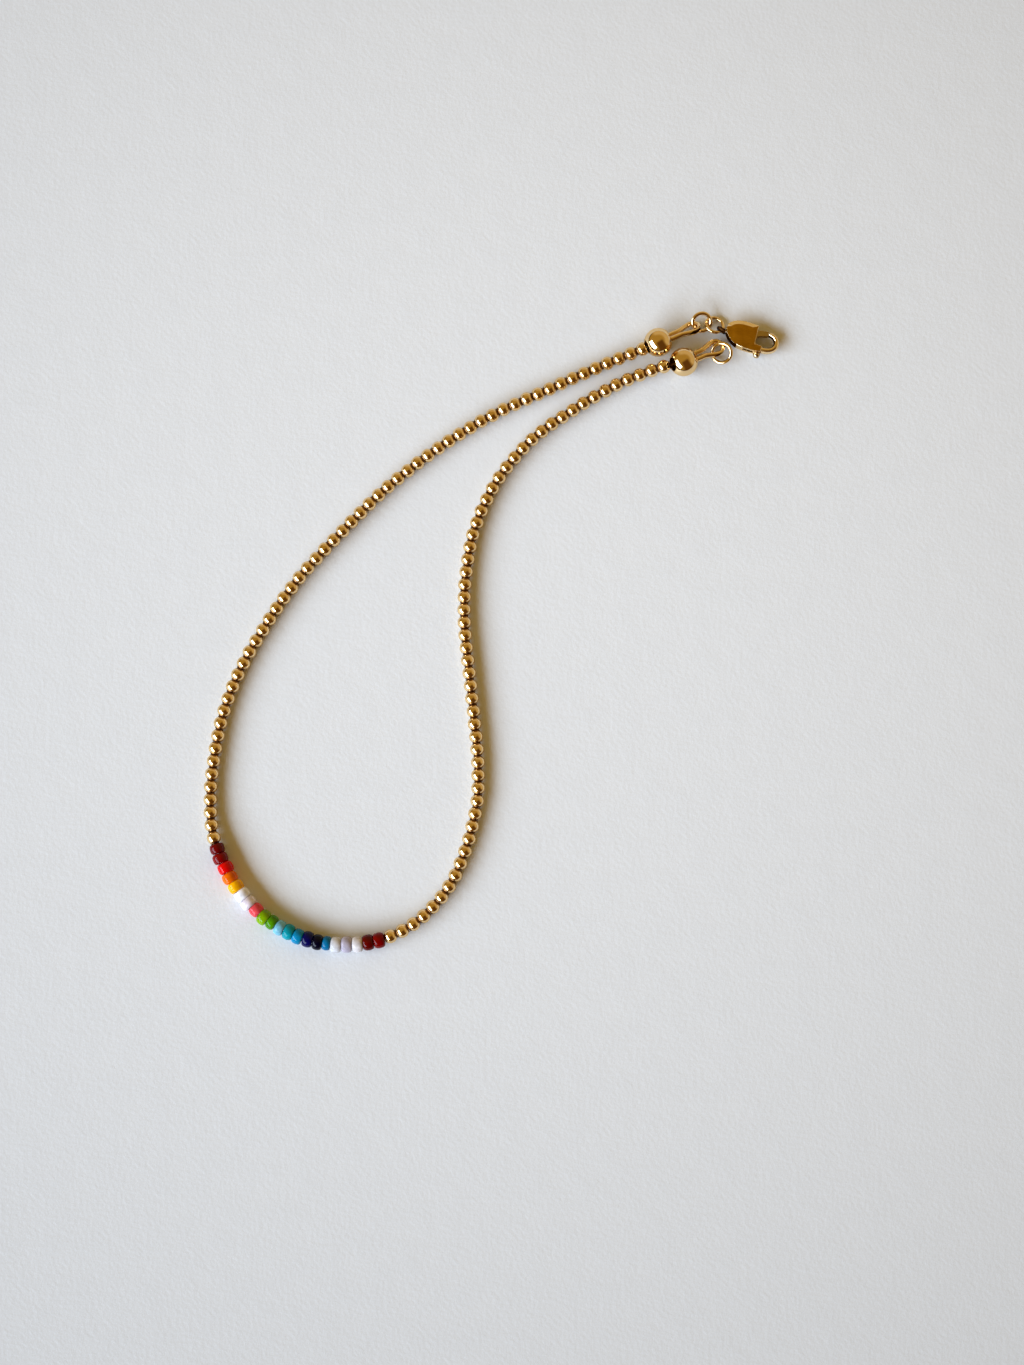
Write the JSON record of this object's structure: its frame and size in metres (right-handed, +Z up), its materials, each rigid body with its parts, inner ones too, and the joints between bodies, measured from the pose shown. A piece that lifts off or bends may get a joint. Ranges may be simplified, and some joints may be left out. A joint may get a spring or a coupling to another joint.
{
  "type": "anklet",
  "caption": "Open beaded anklet: small round gold beads either side of a short row of multicoloured glass beads, with wire guards, rings and a lobster clasp.",
  "frame": {"origin": "centre of the bounding box's base, on the surface that the anklet lies on", "axes": "+Z up from the surface; +Y from the glass beads towards the clasp; +X to the right of +Y seen from above"},
  "size_m": [0.0823, 0.0921, 0.0041],
  "materials": {
    "gold": "polished gold-filled metal",
    "satin_gold": "fine brushed gold-filled metal",
    "coated_wire": "nylon-coated stainless beading wire",
    "glass_burgundy": "glossy opaque glass",
    "glass_dark_red": "glossy opaque glass",
    "glass_bright_red": "glossy opaque glass",
    "glass_orange": "glossy opaque glass",
    "glass_amber": "glossy opaque glass",
    "glass_white_a": "glossy opaque glass",
    "glass_white_b": "glossy opaque glass",
    "glass_coral": "glossy opaque glass",
    "glass_lime": "glossy opaque glass",
    "glass_green": "glossy opaque glass",
    "glass_pale_blue": "glossy opaque glass",
    "glass_teal": "glossy opaque glass",
    "glass_cerulean": "glossy opaque glass",
    "glass_navy": "glossy opaque glass",
    "glass_midnight": "glossy opaque glass",
    "glass_turquoise": "glossy opaque glass",
    "glass_white_c": "glossy opaque glass",
    "glass_lavender": "glossy opaque glass",
    "glass_white_d": "glossy opaque glass",
    "glass_dark_red_a": "glossy opaque glass",
    "glass_dark_red_b": "glossy opaque glass"
  },
  "bodies": {
    "anklet": {"gold_strand_left": "gold", "gold_strand_right": "gold", "seed_01_burgundy": "glass_burgundy", "seed_02_dark_red": "glass_dark_red", "seed_03_bright_red": "glass_bright_red", "seed_04_orange": "glass_orange", "seed_05_amber": "glass_amber", "seed_06_white_a": "glass_white_a", "seed_07_white_b": "glass_white_b", "seed_08_coral": "glass_coral", "seed_09_lime": "glass_lime", "seed_10_green": "glass_green", "seed_11_pale_blue": "glass_pale_blue", "seed_12_teal": "glass_teal", "seed_13_cerulean": "glass_cerulean", "seed_14_navy": "glass_navy", "seed_15_midnight": "glass_midnight", "seed_16_turquoise": "glass_turquoise", "seed_17_white_c": "glass_white_c", "seed_18_lavender": "glass_lavender", "seed_19_white_d": "glass_white_d", "seed_20_dark_red_a": "glass_dark_red_a", "seed_21_dark_red_b": "glass_dark_red_b", "bead_wire": "coated_wire", "crimp_tube_clasp_end": "gold", "crimp_cover_clasp_end": "gold", "wire_guard_clasp_end": "gold", "crimp_tube_ring_end": "gold", "crimp_cover_ring_end": "gold", "wire_guard_ring_end": "gold", "jump_ring_guard": "gold", "jump_ring_clasp": "gold", "end_ring": "gold", "clasp_pin": "gold", "clasp_body": "satin_gold"},
    "lever": {"clasp_lever": "gold"}
  },
  "joints": [
    {"name": "clasp_lever_hinge", "type": "hinge", "parent": "anklet", "child": "lever", "pos_m": [0.03723, 0.04316, 0.001], "axis": [0, 0, -1], "range_deg": [0, 26], "stiffness_Nm_per_rad": 0.002, "springref_deg": -14.32}
  ]
}
